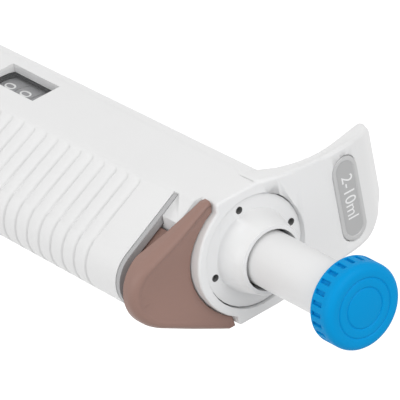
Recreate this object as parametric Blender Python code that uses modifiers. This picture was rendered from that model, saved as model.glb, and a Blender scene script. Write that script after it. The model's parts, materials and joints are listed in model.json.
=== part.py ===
"""Adjustable single-channel micropipette for 2 to 10 ml, as an assembly of its pieces.

Everything is measured from the plunger axis: x runs to the ejector side, -x to the finger hook,
-y to the display, and z = 0 is the top plate of the calibration nut. The pieces hang under one
empty, so that the world origin lies under the finger hook, where a stand holds the pipette.
"""

import math

import bmesh
import bpy
from mathutils import Matrix, Vector

# Clearances, and how far a cutter runs past the face it cuts or a boss runs into what carries it
GAP = 0.0003
RUNNING_GAP = 0.00035
PAST = 0.001
ROOT = 0.0005
SLIP = 0.0001
SOFT_EDGE = 0.0002

# Smoothness of round shapes
STEPS = 36
INNER_STEPS = 24
SMALL_STEPS = 18
WIRE_POINTS = 9

# Knob and plunger tube
KNOB_R = 0.0100
KNOB_REST_GAP = 0.0005
KNOB_HEIGHT = 0.0062
KNOB_CROWN = 0.0018
KNOB_NOTCHES = 25
NOTCH_DEPTH = 0.0007
NOTCH_WIDTH = 0.0011
NOTCH_LENGTH = 0.0030
FACE_GROOVES = (0.0069, 0.0047)
FACE_GROOVE_WIDTH = 0.0005
FACE_GROOVE_DEPTH = 0.0003
TUBE_R = 0.0064
TUBE_IN_KNOB = 0.0027
TUBE_BOTTOM = -0.0260
ROD_R = 0.0020
ROD_IN_KNOB = 0.0038

# Calibration nut and guide bush
PLATE_R = 0.0131
PLATE_THICK = 0.0032
COLLAR_FOOT_R = 0.0098
COLLAR_LIP_R = 0.0082
COLLAR_HEIGHT = 0.0068
COLLAR_BORE_R = 0.00715
NUT_SKIRT_R = 0.0111
NUT_SKIRT_BOTTOM = -0.0095
PIN_HOLE_R = 0.0009
PIN_HOLE_DEPTH = 0.0015
PIN_CIRCLE_R = 0.0111
PIN_HOLES = 4
PIN_TURN = math.radians(8.6)
BUSH_TOP = -0.0100
BUSH_SHELF = -0.0218
BUSH_SHELF_THICK = 0.0027

# Handle shell
RIM_TOP = 0.0007
RIM_WALL = 0.0023
TOP_ROUND = 0.0006
SIDE_R = 0.01604
SIDE_TAPER = 0.0109
FRONT_FLAT = 0.0156
FRONT_TAPER = 0.0205
FRONT_LEAST = 0.0140
CORNER_X = 0.0090
CORNER_ROUND = 0.0012
NECK_CORNER_X = 0.0076
NECK_CORNER_ROUND = 0.0005
LOBE_X = 0.0210
LOBE_R = 0.0078
LOBE_END_X = 0.0175
LOBE_END_R = 0.0070
POCKET_EDGE = -0.0117
LEDGE_FALL = 0.0002
SHELL_BOTTOM = -0.1430
SHELL_WALL = 0.0019
MECHANISM_R = 0.0124
TOP_RIB = -0.0228
RIB_PITCH = 0.0044
RIB_GROOVES = 18
GROOVE_WIDTH = 0.0009
GROOVE_DEPTH = 0.0004
POCKET_FLOOR = -0.0260
POCKET_WEB = 0.0040
POCKET_START = 0.0008
BLOCK_FALL = 0.0016
CHANNEL_WALL_X = 0.0148
CHANNEL_TURN = 66
CHANNEL_LEAN = 0.45

# Finger hook: distance out from the plunger axis, half width at the top and at the underside, both heights
HOOK_ROWS = (
    (0.0035, 0.0159, 0.0156, 0.00055, -0.0062),
    (0.0090, 0.0150, 0.0146, 0.0010, -0.0046),
    (0.0150, 0.0140, 0.0134, 0.0012, -0.0035),
    (0.0210, 0.0135, 0.0126, 0.0012, -0.0032),
    (0.0260, 0.0133, 0.0123, 0.0009, -0.0037),
    (0.0300, 0.0129, 0.0121, 0.0002, -0.0047),
    (0.0330, 0.0121, 0.0117, -0.0010, -0.0059),
    (0.0360, 0.0110, 0.0110, -0.0030, -0.0074),
    (0.0380, 0.0100, 0.0103, -0.0050, -0.0087),
    (0.0392, 0.0097, 0.0099, -0.0061, -0.0093),
    (0.0404, 0.0085, 0.0089, -0.0073, -0.0098),
)
HOOK_EDGE = 0.0009
HOOK_FILLET = 0.0090
HOOK_FILLET_THINS = 0.85
HOOK_SEAT = 0.0260

# Range label on the hook
LABEL_OUT = 0.0267
LABEL_LENGTH = 0.0212
LABEL_WIDTH = 0.0070
LABEL_TOP = 0.0009
LABEL_THICK = 0.0008

# Display and counter
WINDOW_TOP = -0.0728
WINDOW_HALF = 0.00385
WINDOW_DEPTH = 0.0080
WHEEL_PITCH = 0.0060
WHEELS = 3
LENS_THICK = 0.0006
LENS_INSET = 0.0005
CHASSIS_R = 0.0121
CHASSIS_BORE_R = 0.0112
CHASSIS_ABOVE = 0.0068
CHASSIS_BELOW = 0.0072
CHASSIS_FLOOR = 0.0018
WHEEL_R = 0.0109
WHEEL_BORE_R = 0.0089
SPINDLE_FLANGE = 0.0022
WASHER_THICK = 0.0006

# Setting spindle
SPINDLE_HEX_R = 0.0047
SPINDLE_TOP = -0.0200
JOURNAL_ABOVE = 0.0168
JOURNAL_R = 0.0050
BEARING_LENGTH = 0.0070
ROD_BORE_R = 0.0025

# Strokes
DOSE_STROKE = 0.0221
BLOWOUT_STROKE = 0.0032
EJECT_STROKE = 0.0030

# Plunger collar, stop sleeve and springs
ROD_COLLAR_R = 0.0075
ROD_COLLAR_THICK = 0.0030
SLEEVE_R = 0.0044
SLEEVE_BASE = -0.1310
SLEEVE_FLANGE_R = 0.0105
SLEEVE_FLANGE = 0.0020
PLUNGER_COIL_R = 0.0059
PLUNGER_WIRE_R = 0.0004
PLUNGER_TURNS = 7
BLOWOUT_COIL_R = 0.0080
BLOWOUT_WIRE_R = 0.0006
BLOWOUT_TURNS = 3

# End cap, coupling nut and barrel
CAP_BOSS_TOP = -0.1413
CAP_FLANGE = 0.0040
CAP_COLLAR_BORE_R = 0.0127
CAP_COLLAR_LENGTH = 0.0057
GASKET_THICK = 0.0008
BARREL_FLANGE = 0.0020
BARREL_R = 0.0138
BARREL_STEP = 0.0008
BARREL_BORE_R = 0.0123
BARREL_SHOULDER = -0.1960
SHOULDER_ROUND = 0.0040
BORE_END = -0.1930
NOZZLE_TOP = -0.2140
NOZZLE_TOP_R = 0.0080
NOZZLE_FLARE = 0.0011
NOZZLE_TIP_R = 0.0066
NOZZLE_BORE_R = 0.0042
NOZZLE_BOTTOM = -0.2450
FILTER_R = 0.0048
FILTER_LENGTH = 0.0060
O_RING_R = 0.0007
O_RING_PROUD = 0.0004
O_RING_HEIGHTS = (-0.2408, -0.2432)
NUT_WALL = 0.0009
NUT_CHAMFER = 0.0008
NUT_LIP = 0.0020
NUT_FLUTES = 18
FLUTE_R = 0.0008

# Piston
PISTON_R = 0.0120
PISTON_TOP = -0.1500
PISTON_LENGTH = 0.0140
PISTON_SOCKET = 0.0080
PISTON_CHAMFER = 0.0010
SEAL_R = 0.0011
SEAL_SQUEEZE = 0.8
SEAL_HEIGHT = -0.1600

# Ejector
BUTTON_LOBE_R = 0.0097
BUTTON_FRONT = 0.0162
BUTTON_BEND_X = 0.0093
BUTTON_TIP_LOW = -0.0026
BUTTON_LOW = -0.0069
BUTTON_SLOPE = 0.106
BUTTON_BEND = 8.7
BUTTON_STEPS = 10
CHORD_SHARES = (1.0, 0.66, 0.33, 0.0)
BUTTON_TOP = -0.0020
BUTTON_FALL = 0.085
BUTTON_DISH = 0.0017
BUTTON_CREASE = 0.0020
TIP_CREASE = 0.45
CREASE_FULL_X = 0.0175
BUTTON_EDGE = ((0.0, 0.56), (0.12, 0.32), (0.42, 0.11), (0.8, 0.015), (1.0, 0.0))
BUTTON_ROOF = 0.0008
FLANGE_GAP = 0.00025
SKIRT_BOTTOM = -0.0160
SKIRT_WALL = 0.0013
TRIM_HEIGHT = 0.0012
TRIM_WIDTH = 0.0018
TRIM_POINT_X = 0.0096
TRIM_POINT = 0.00015
EJECT_ROD_X = 0.0206
EJECT_ROD_R = 0.0015
EJECT_ROD_TOP = -0.0063
BOSS_R = 0.0027
BOSS_BOTTOM = -0.0130
EJECT_COIL_R = 0.0036
EJECT_WIRE_R = 0.00035
EJECT_TURNS = 6
LUG_THICK = 0.0022
ARM_THICK = 0.0016
ARM_HALF_WIDTH = 0.0040
EJECT_RING_BORE_R = 0.0086
EJECT_RING_R = 0.0101
EJECT_RING_TOP = -0.2250
EJECT_RING_BOTTOM = -0.2365
ROD_TAIL_R = 0.0010
CLIP_R = 0.0021
CLIP_THICK = 0.0008

# Heights and radii that follow from the sizes above
KNOB_BACK = COLLAR_HEIGHT + DOSE_STROKE + BLOWOUT_STROKE + KNOB_REST_GAP
KNOB_TOP = KNOB_BACK + KNOB_HEIGHT
TUBE_TOP = KNOB_BACK + TUBE_IN_KNOB
ROD_TOP = KNOB_BACK + ROD_IN_KNOB
RIM_R = PLATE_R + RIM_WALL
POCKET_START_X = RIM_R - POCKET_START
RIM_BORE_R = PLATE_R + GAP
NUT_BORE_R = NUT_SKIRT_R + GAP
SHELF_BORE_R = TUBE_R + 0.0022
SLIDE_BORE_R = TUBE_R + GAP
WINDOW_BOTTOM = WINDOW_TOP - WHEELS * WHEEL_PITCH
CHASSIS_TOP = WINDOW_TOP + CHASSIS_ABOVE
CHASSIS_BOTTOM = WINDOW_BOTTOM - CHASSIS_BELOW
JOURNAL_TOP = WINDOW_TOP + JOURNAL_ABOVE
BEARING_BOTTOM = JOURNAL_TOP - BEARING_LENGTH
DRUM_R = WHEEL_BORE_R - GAP
FLANGE_TOP = WINDOW_TOP + SPINDLE_FLANGE
FLOOR_TOP = CHASSIS_BOTTOM + CHASSIS_FLOOR
DRUM_BOTTOM = FLOOR_TOP + GAP + WASHER_THICK + GAP
COLLAR_TOP = CHASSIS_BOTTOM - GAP
COLLAR_BOTTOM = COLLAR_TOP - ROD_COLLAR_THICK
SLEEVE_TOP = COLLAR_BOTTOM - DOSE_STROKE - GAP
CAP_COLLAR_R = BARREL_R + BARREL_STEP
CAP_TOP = SHELL_BOTTOM - GAP
CAP_BOTTOM = CAP_TOP - CAP_FLANGE
CAP_COLLAR_BOTTOM = CAP_BOTTOM - CAP_COLLAR_LENGTH
GASKET_TOP = CAP_COLLAR_BOTTOM - GAP
BARREL_TOP = GASKET_TOP - GASKET_THICK - GAP
BARREL_FLANGE_R = CAP_COLLAR_R
BARREL_FLANGE_BOTTOM = BARREL_TOP - BARREL_FLANGE
NUT_BORE = CAP_COLLAR_R + GAP
NUT_R = NUT_BORE + NUT_WALL
NUT_TOP = CAP_BOTTOM - 2 * GAP
NUT_LIP_TOP = BARREL_FLANGE_BOTTOM - GAP
NUT_BOTTOM = NUT_LIP_TOP - NUT_LIP
TRIM_BOTTOM = POCKET_EDGE - LEDGE_FALL
LAST_RIB = TOP_RIB - RIB_PITCH * RIB_GROOVES
BUTTON_BORE_R = RIM_R + RUNNING_GAP
BUTTON_CORNER_X = NECK_CORNER_X + RUNNING_GAP
LUG_TOP = CAP_BOTTOM - GAP
LUG_BOTTOM = LUG_TOP - LUG_THICK
ARM_X = NUT_R + 2 * RUNNING_GAP
SOCKET_R = EJECT_ROD_R + GAP
BLOCK_TOP = BUTTON_TOP + BUTTON_DISH - BUTTON_ROOF - EJECT_STROKE - 2 * GAP
SLOPE_MARKS = (0.45, 0.88)
ARC_STEPS = 7
SIDE_STEPS = 9
NECK_STEPS = 3


def collection(name):
    made = bpy.data.collections.new(name)
    bpy.context.scene.collection.children.link(made)
    return made


def material(name, colour, roughness, metallic=0.0, alpha=1.0):
    made = bpy.data.materials.new(name)
    made.use_nodes = True
    shader = made.node_tree.nodes["Principled BSDF"]
    shader.inputs["Base Color"].default_value = (*colour, 1.0)
    shader.inputs["Roughness"].default_value = roughness
    shader.inputs["Metallic"].default_value = metallic
    shader.inputs["Alpha"].default_value = alpha
    made.diffuse_color = (*colour, alpha)
    return made


def hang(name, mesh, group, at):
    obj = bpy.data.objects.new(name, mesh)
    group.objects.link(obj)
    obj.parent = datum
    obj.location = at
    return obj


def part(name, mesh, finish, at=(0.0, 0.0, 0.0)):
    """One piece of the pipette, shaded smooth except at its corners."""
    mesh.name = name
    mesh.materials.clear()
    mesh.materials.append(material(name, *finish))
    mesh.shade_smooth()
    mesh.set_sharp_from_angle(angle=math.radians(32))
    return hang(name, mesh, parts, at)


def helper(name, mesh, at=(0.0, 0.0, 0.0)):
    """A shape that only cuts or joins."""
    obj = hang(name, mesh, cutters, at)
    obj.hide_render = True
    obj.display_type = "WIRE"
    return obj


def combine(obj, other, operation):
    modifier = obj.modifiers.new(other.name, "BOOLEAN")
    modifier.operation = operation
    modifier.object = other


def cut(obj, *others):
    for other in others:
        combine(obj, other, "DIFFERENCE")


def join(obj, *others):
    for other in others:
        combine(obj, other, "UNION")


def mesh_from(bm):
    bmesh.ops.remove_doubles(bm, verts=bm.verts, dist=1e-7)
    bmesh.ops.recalc_face_normals(bm, faces=bm.faces)
    mesh = bpy.data.meshes.new("shape")
    bm.to_mesh(mesh)
    bm.free()
    return mesh


def evaluated(obj):
    """The mesh that an object's modifiers or its curve bevel give, welded; the object goes."""
    bpy.context.scene.collection.objects.link(obj)
    bpy.context.view_layer.update()
    graph = bpy.context.evaluated_depsgraph_get()
    mesh = bpy.data.meshes.new_from_object(obj.evaluated_get(graph), depsgraph=graph)
    bpy.data.objects.remove(obj)
    bm = bmesh.new()
    bm.from_mesh(mesh)
    return mesh_from(bm)


def turned(profile, steps=STEPS):
    """A turned shape: (radius, height) pairs down the outer side, then up the bore if there is one."""
    count = len(profile)
    bored = min(radius for radius, height in profile) > 0
    edges = [(i, (i + 1) % count) for i in range(count if bored else count - 1)]
    mesh = bpy.data.meshes.new("profile")
    mesh.from_pydata([(radius, 0.0, height) for radius, height in profile], edges, [])
    obj = bpy.data.objects.new("profile", mesh)
    screw = obj.modifiers.new("Turn", "SCREW")
    screw.steps = steps
    screw.render_steps = steps
    screw.use_merge_vertices = True
    screw.merge_threshold = 1e-6
    return evaluated(obj)


def rod(radius, top, bottom, steps=SMALL_STEPS):
    return turned([(0.0, top), (radius, top), (radius, bottom), (0.0, bottom)], steps)


def tube(radius, bore, top, bottom, steps=STEPS):
    return turned([(radius, top), (radius, bottom), (bore, bottom), (bore, top)], steps)


def arc(centre, radius, start, end, count):
    """Points (x, y) along an arc, both ends included; the angles are in degrees."""
    angles = [math.radians(start + (end - start) * i / count) for i in range(count + 1)]
    return [(centre[0] + radius * math.cos(a), centre[1] + radius * math.sin(a)) for a in angles]


def torus(ring_r, wire_r, height, steps=STEPS, sides=6):
    """An O-ring, turned from a round section."""
    section = arc((ring_r, height), wire_r, 90, -270, sides)[:-1]
    return turned(section, steps)


def coil(coil_r, wire_r, top, bottom, turns):
    """A compression spring between two heights, its wire's centre line one wire radius inside them."""
    curve = bpy.data.curves.new("coil", "CURVE")
    curve.dimensions = "3D"
    curve.bevel_depth = wire_r
    curve.bevel_resolution = 1
    curve.use_fill_caps = True
    count = turns * WIRE_POINTS
    wire = curve.splines.new("POLY")
    wire.points.add(count)
    low = bottom + wire_r
    rise = top - wire_r - low
    for i, point in enumerate(wire.points):
        turn = math.tau * i / WIRE_POINTS
        point.co = (coil_r * math.cos(turn), coil_r * math.sin(turn), low + rise * i / count, 1.0)
    return evaluated(bpy.data.objects.new("coil", curve))


def flat_outline(points, half_thickness):
    """A flat outline in the xy plane, filled and extruded both ways along z."""
    curve = bpy.data.curves.new("outline", "CURVE")
    curve.dimensions = "2D"
    curve.fill_mode = "BOTH"
    curve.extrude = half_thickness
    spline = curve.splines.new("POLY")
    spline.points.add(len(points) - 1)
    for point, (x, y) in zip(spline.points, points):
        point.co = (x, y, 0.0, 1.0)
    spline.use_cyclic_u = True
    return evaluated(bpy.data.objects.new("outline", curve))


def box(low, high):
    bm = bmesh.new()
    bmesh.ops.create_cube(bm, size=1.0)
    size = Vector(high) - Vector(low)
    centre = (Vector(high) + Vector(low)) / 2
    bmesh.ops.scale(bm, vec=size, verts=bm.verts)
    bmesh.ops.translate(bm, vec=centre, verts=bm.verts)
    return mesh_from(bm)


def loft(rings, cap_first=True, cap_last=True):
    """A closed solid through rings of equal length; an end ring that folds shut needs no cap."""
    bm = bmesh.new()
    loops = [[bm.verts.new(point) for point in ring] for ring in rings]
    for low, high in zip(loops, loops[1:]):
        for i in range(len(low)):
            j = (i + 1) % len(low)
            bm.faces.new((low[i], low[j], high[j], high[i]))
    if cap_first:
        bm.faces.new(loops[0])
    if cap_last:
        bm.faces.new(loops[-1])
    return mesh_from(bm)


def prism(outline, top, bottom):
    return loft([[(x, y, z) for x, y in outline] for z in (bottom, top)])


def lobe_tangent(corner, centre_x, radius):
    """The straight slope from a lobe's arc to a corner: its foot on the arc, its normal and its angle."""
    across = Vector((corner[0] - centre_x, corner[1]))
    angle = math.atan2(across.y, across.x) - math.acos(radius / across.length)
    normal = Vector((math.cos(angle), math.sin(angle)))
    return Vector((centre_x, 0.0)) + normal * radius, normal, math.degrees(angle)


def lobe_half(corner, centre_x, radius, depth=0.0, steps=ARC_STEPS):
    """Half of a lobe, y positive: an arc from its far end, then the tangent down to a corner.

    depth presses the arc and the tangent inwards, and leaves the last stretch to the corner.
    """
    foot, normal, turn = lobe_tangent(corner, centre_x, radius)
    points = arc((centre_x, 0.0), radius - depth, 0, turn, steps)
    for mark in SLOPE_MARKS:
        point = foot.lerp(Vector(corner), mark) - normal * depth
        points.append((point.x, point.y))
    return points


def mirrored(half):
    """The whole outline from the half with y positive, which starts and may end on the x axis."""
    other = [(x, -y) for x, y in reversed(half) if y > 1e-9]
    return half + other


def side_radius(z):
    return SIDE_R + SIDE_TAPER * z


def front_flat(z):
    return max(FRONT_FLAT + FRONT_TAPER * z, FRONT_LEAST)


def body_half(z, corner_x, centre_x, radius, depth=0.0):
    """Half a section of the handle: lobe, soft corner, front flat and the round hook side."""
    flat = front_flat(z)
    side = side_radius(z)
    corner = (corner_x, flat)
    points = lobe_half(corner, centre_x, radius, depth)
    points.append((corner_x + CORNER_ROUND * 0.9, flat - CORNER_ROUND * 0.42))
    points.append((corner_x + CORNER_ROUND * 0.3, flat - CORNER_ROUND * 0.07))
    points.append((corner_x - CORNER_ROUND, flat))
    turn = math.degrees(math.asin(flat / side))
    return points + arc((0.0, 0.0), side, 180 - turn, 180, SIDE_STEPS)


def lobe_size(z):
    """Centre and radius of the ejector-side lobe, which draws in below the ribs."""
    way = min(max((LAST_RIB - z) / (LAST_RIB - SHELL_BOTTOM), 0.0), 1.0)
    ease = way * way * (3 - 2 * way)
    return LOBE_X + (LOBE_END_X - LOBE_X) * ease, LOBE_R + (LOBE_END_R - LOBE_R) * ease


def grip_ring(z, depth=0.0):
    return [(x, y, z) for x, y in mirrored(body_half(z, CORNER_X, *lobe_size(z), depth))]


def neck_ring(z, end_x, end_y=None, inset=0.0, fall=0.0):
    """A section above the ledge: round toward the lobe, and the full body behind an end face at end_x.

    Without end_y the end face runs out to the front flat. fall lowers the section toward the round part.
    """
    side = side_radius(z) - inset
    flat = front_flat(z) - inset
    neck = RIM_R - inset
    end_x -= inset
    start = math.degrees(math.acos(POCKET_START_X / neck))
    points = [(x, y, z - fall) for x, y in arc((0.0, 0.0), neck, 0, start, NECK_STEPS)]
    if end_y is None:
        run = arc((0.0, 0.0), neck, start, math.degrees(math.acos(end_x / neck)), NECK_STEPS + 1)[1:]
        end_y = flat - NECK_CORNER_ROUND
        corner = [(end_x - NECK_CORNER_ROUND, flat), (end_x - 2 * NECK_CORNER_ROUND, flat)]
    else:
        run = []
        outer_point = (CORNER_X + CORNER_ROUND * 0.3, flat - CORNER_ROUND * 0.07)
        corner = [outer_point, (CORNER_X - CORNER_ROUND, flat)]
    inner_y = (points + run)[-1][1]
    left = ARC_STEPS - len(run)
    run += [(end_x, inner_y + (end_y - inner_y) * (i + 1) / left) for i in range(left)]
    points += [(x, y, z - fall * (1 - (i + 1) / len(run))) for i, (x, y) in enumerate(run)]
    angle = math.degrees(math.asin(flat / side))
    points += [(x, y, z) for x, y in corner + arc((0.0, 0.0), side, 180 - angle, 180, SIDE_STEPS)]
    return points + [(x, -y, z) for x, y, z in reversed(points) if y > 1e-9]


def grip_mesh():
    """The handle's outer form: the ribbed grip, the pocket's ledge and the neck above it."""
    rings = [grip_ring(SHELL_BOTTOM)]
    for share in (0.7, 0.4, 0.15):
        rings.append(grip_ring(LAST_RIB * (1 - share) + SHELL_BOTTOM * share))
    for groove in reversed(range(RIB_GROOVES)):
        top = TOP_RIB - RIB_PITCH * groove
        rings.append(grip_ring(top - GROOVE_WIDTH))
        rings.append(grip_ring(top - GROOVE_WIDTH * 0.6, GROOVE_DEPTH))
        rings.append(grip_ring(top))
    block = POCKET_START_X, slope_y(0.0, POCKET_START_X)
    rings += [grip_ring(POCKET_EDGE - LEDGE_FALL), neck_ring(POCKET_EDGE, *block)]
    rings.append(neck_ring(BLOCK_TOP - LEDGE_FALL, *block, fall=BLOCK_FALL))
    rings.append(neck_ring(BLOCK_TOP, NECK_CORNER_X, fall=BLOCK_FALL))
    for inset in (0.0, TOP_ROUND * 0.3, TOP_ROUND):
        height = RIM_TOP - TOP_ROUND + math.sqrt(inset * (2 * TOP_ROUND - inset))
        rings.append(neck_ring(height, NECK_CORNER_X, inset=inset))
    return loft(rings)


def eased(rows, per_span=2):
    """More rows along a smooth curve through the given ones."""
    made = []
    last = len(rows) - 1
    for i in range(last):
        before, start, end, after = (Vector(rows[min(max(i + k, 0), last)]) for k in (-1, 0, 1, 2))
        for step in range(per_span):
            t = step / per_span
            straight = start.lerp(end, t)
            bend = (start - before) - (end - start), (after - end) - (end - start)
            made.append(straight + 0.5 * t * (1 - t) * ((1 - t) * bend[0] - t * bend[1]))
    return made + [Vector(rows[last])]


def hook_drop(out, y):
    """How far the fillet under the hook hangs below its edge; it thins out toward the sides."""
    reach = HOOK_FILLET * (1 - HOOK_FILLET_THINS * (y / SIDE_R) ** 2)
    clear = math.hypot(out, y) - side_radius(-HOOK_FILLET)
    left = max(min(reach - clear, reach), 0.0)
    return reach - math.sqrt(reach**2 - left**2)


def hook_mesh():
    """The finger hook, a loft along -x of sections with soft edges and a filleted underside."""
    rings = []
    for out, half, low_half, top, under in eased(HOOK_ROWS):
        soft = min(HOOK_EDGE, (top - under) * 0.4)
        edge = [(half - soft * 0.3, top - soft * 0.3), (half, top - soft)]
        edge += [(low_half, under + soft), (low_half - soft * 0.3, under + soft * 0.3)]
        section = [((half - soft) * share, top) for share in (-1.0, -0.5, 0.0, 0.5, 1.0)]
        section += edge
        section += [((low_half - soft) * quarter / 4, under) for quarter in range(4, -5, -1)]
        section += [(-y, z) for y, z in reversed(edge)]
        rings.append([(-out, y, z - (hook_drop(out, y) if z == under else 0.0)) for y, z in section])
    return loft(rings)


def stadium(length, width, count):
    """Points of a stadium, long along y, as (x, y)."""
    radius = width / 2
    reach = length / 2 - radius
    return arc((0.0, reach), radius, 0, 180, count) + arc((0.0, -reach), radius, 180, 360, count)


def ledge_corner():
    return CORNER_X, front_flat(POCKET_EDGE)


def slope_y(offset, x, corner=None, radius=LOBE_R):
    """The y at which a lobe's slope, moved in by offset, passes a given x; the body's slope by default."""
    foot, normal, _ = lobe_tangent(corner or ledge_corner(), LOBE_X, radius)
    start = foot - normal * offset
    return start.y - (x - start.x) * normal.x / normal.y


def lobe_line(offset, start_x):
    """Half of the lobe's outline moved in by offset, from its far end to where x = start_x."""
    angle = lobe_tangent(ledge_corner(), LOBE_X, LOBE_R)[2]
    points = arc((LOBE_X, 0.0), LOBE_R - offset, 0, angle, ARC_STEPS)
    return points + [(start_x, slope_y(offset, start_x))]


def trim_outline(margin=0.0):
    """The trim's U: the body's outline outside, a parallel line inside, and a point at each end."""
    outer = lobe_line(-4 * margin, TRIM_POINT_X - margin)
    inner = lobe_line(TRIM_WIDTH + margin, POCKET_START_X - ROOT - margin)
    end_x = TRIM_POINT_X - margin
    inner.append((end_x, slope_y(0.0, end_x) - TRIM_POINT - 1.5 * margin))
    return mirror_open(outer) + mirror_open(inner)[::-1]


def mirror_open(half):
    """A half line and its mirror image as one open line, from y negative to y positive."""
    return [(x, -y) for x, y in reversed(half) if y > 1e-9] + half


def handle_shell():
    shell = part("handle_shell", grip_mesh(), WHITE)
    join(shell, helper("hook_blank", hook_mesh()))

    bore = turned(
        [
            (0.0, RIM_TOP + PAST),
            (RIM_BORE_R, RIM_TOP + PAST),
            (RIM_BORE_R, -PLATE_THICK - GAP),
            (NUT_BORE_R, -PLATE_THICK - GAP),
            (NUT_BORE_R, BUSH_SHELF),
            (SHELF_BORE_R, BUSH_SHELF),
            (SHELF_BORE_R, BUSH_SHELF - BUSH_SHELF_THICK),
            (MECHANISM_R, BUSH_SHELF - BUSH_SHELF_THICK),
            (MECHANISM_R, SHELL_BOTTOM - 2 * PAST),
            (0.0, SHELL_BOTTOM - 2 * PAST),
        ]
    )
    pocket_outline = mirrored(lobe_line(SHELL_WALL, POCKET_START_X + GAP))
    pocket = helper("pocket_cutter", prism(pocket_outline, POCKET_EDGE + PAST, POCKET_FLOOR))
    cut(pocket, helper("neck_keeper", rod(RIM_R - GAP, 0.0, POCKET_FLOOR - PAST, STEPS)))
    seat = flat_outline(trim_outline(GAP), (TRIM_HEIGHT + 2 * GAP) / 2)
    pocket_hole = rod(SOCKET_R, POCKET_FLOOR + PAST, POCKET_FLOOR - POCKET_WEB - PAST)
    window = box((-WINDOW_HALF, -SIDE_R - PAST, WINDOW_BOTTOM), (WINDOW_HALF, -WINDOW_DEPTH, WINDOW_TOP))
    label_seat = label_mesh(GAP, LABEL_TOP + 2 * PAST, LABEL_TOP - LABEL_THICK - GAP)
    cut(
        shell,
        helper("label_seat", label_seat),
        helper("mechanism_bore", bore),
        pocket,
        helper("channel_cutter", channel_mesh()),
        helper("pocket_hole", pocket_hole, (EJECT_ROD_X, 0, 0)),
        helper("window_cutter", window),
        helper("trim_seat", seat, (0.0, 0.0, TRIM_BOTTOM + TRIM_HEIGHT / 2)),
    )


def channel_mesh():
    """The hollow of the lobe that the ejector rod runs in, open at the handle's lower end."""
    rings = []
    roof = POCKET_FLOOR - POCKET_WEB
    for z in (SHELL_BOTTOM - PAST, SHELL_BOTTOM * 0.85 + roof * 0.15, LAST_RIB, roof):
        centre_x, radius = lobe_size(z)
        half = arc((centre_x, 0.0), radius - SHELL_WALL, 0, CHANNEL_TURN, ARC_STEPS)
        half.append((CHANNEL_WALL_X, half[-1][1] + (half[-1][0] - CHANNEL_WALL_X) * CHANNEL_LEAN))
        rings.append([(x, y, z) for x, y in mirrored(half)])
    return loft(rings)


def label_mesh(margin, top, bottom):
    outline = stadium(LABEL_LENGTH + 2 * margin, LABEL_WIDTH + 2 * margin, 9)
    return prism([(x - LABEL_OUT, y) for x, y in outline], top, bottom)


def trim_and_label():
    trim = flat_outline(trim_outline(), TRIM_HEIGHT / 2)
    part("pocket_trim", trim, GREY, (0.0, 0.0, TRIM_BOTTOM + TRIM_HEIGHT / 2))
    part("range_label", label_mesh(0.0, LABEL_TOP, LABEL_TOP - LABEL_THICK), LABEL_GREY)


def calibration_nut():
    profile = [
        (COLLAR_LIP_R - SOFT_EDGE, COLLAR_HEIGHT),
        (COLLAR_LIP_R, COLLAR_HEIGHT - SOFT_EDGE),
        (COLLAR_FOOT_R, 0.0),
        (PLATE_R, 0.0),
        (PLATE_R, -PLATE_THICK),
        (NUT_SKIRT_R, -PLATE_THICK),
        (NUT_SKIRT_R, NUT_SKIRT_BOTTOM),
        (COLLAR_BORE_R, NUT_SKIRT_BOTTOM),
        (COLLAR_BORE_R, COLLAR_HEIGHT),
    ]
    nut = part("calibration_nut", turned(profile), WHITE)
    for i in range(PIN_HOLES):
        turn = PIN_TURN + math.tau * i / PIN_HOLES
        at = (PIN_CIRCLE_R * math.cos(turn), PIN_CIRCLE_R * math.sin(turn), 0.0)
        cut(nut, helper(f"pin_hole_{i + 1}", rod(PIN_HOLE_R, PAST, -PIN_HOLE_DEPTH, 10), at))


def guide_bush():
    part("guide_bush", tube(NUT_SKIRT_R, SLIDE_BORE_R, BUSH_TOP, BUSH_SHELF + GAP, INNER_STEPS), DARK)


def push_button():
    """The knurled knob: a rounded cap with face grooves, a socket for the tube and rim notches."""
    profile = [(0.0, KNOB_TOP)]
    for radius in sorted(FACE_GROOVES):
        half = FACE_GROOVE_WIDTH / 2
        profile += [
            (radius - half, KNOB_TOP),
            (radius, KNOB_TOP - FACE_GROOVE_DEPTH),
            (radius + half, KNOB_TOP),
        ]
    crown = arc((KNOB_R - KNOB_CROWN, KNOB_TOP - KNOB_CROWN), KNOB_CROWN, 90, 0, 4)
    socket_r = TUBE_R + GAP
    rod_socket = ROD_R + GAP
    profile += crown + [
        (KNOB_R, KNOB_BACK + SOFT_EDGE),
        (KNOB_R - SOFT_EDGE, KNOB_BACK),
        (socket_r, KNOB_BACK),
        (socket_r, TUBE_TOP + GAP),
        (rod_socket, TUBE_TOP + GAP),
        (rod_socket, ROD_TOP + GAP),
        (0.0, ROD_TOP + GAP),
    ]
    knob = part("push_button", turned(profile, 2 * KNOB_NOTCHES), BLUE)
    cut(knob, helper("knob_notches", notch_ring()))


def notch_ring():
    """All the knob's rim notches as one cutter: a ring outside the knob with a tooth at each notch."""
    outline = []
    clear = KNOB_R + ROOT
    for i in range(KNOB_NOTCHES):
        middle = math.tau * i / KNOB_NOTCHES
        half = NOTCH_WIDTH / 2 / KNOB_R
        for angle, radius in (
            (middle - half, clear),
            (middle - half * 0.5, KNOB_R - NOTCH_DEPTH),
            (middle + half * 0.5, KNOB_R - NOTCH_DEPTH),
            (middle + half, clear),
        ):
            outline.append((radius * math.cos(angle), radius * math.sin(angle)))
    low = KNOB_BACK + 2 * SOFT_EDGE
    high = low + NOTCH_LENGTH
    teeth = prism(outline, high, low)
    ring = helper("notch_ring_blank", tube(KNOB_R + 2 * PAST, KNOB_R * 0.5, high, low, 2 * KNOB_NOTCHES))
    cut(ring, helper("notch_core", teeth))
    bpy.context.view_layer.update()
    graph = bpy.context.evaluated_depsgraph_get()
    mesh = bpy.data.meshes.new_from_object(ring.evaluated_get(graph), depsgraph=graph)
    return mesh


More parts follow.
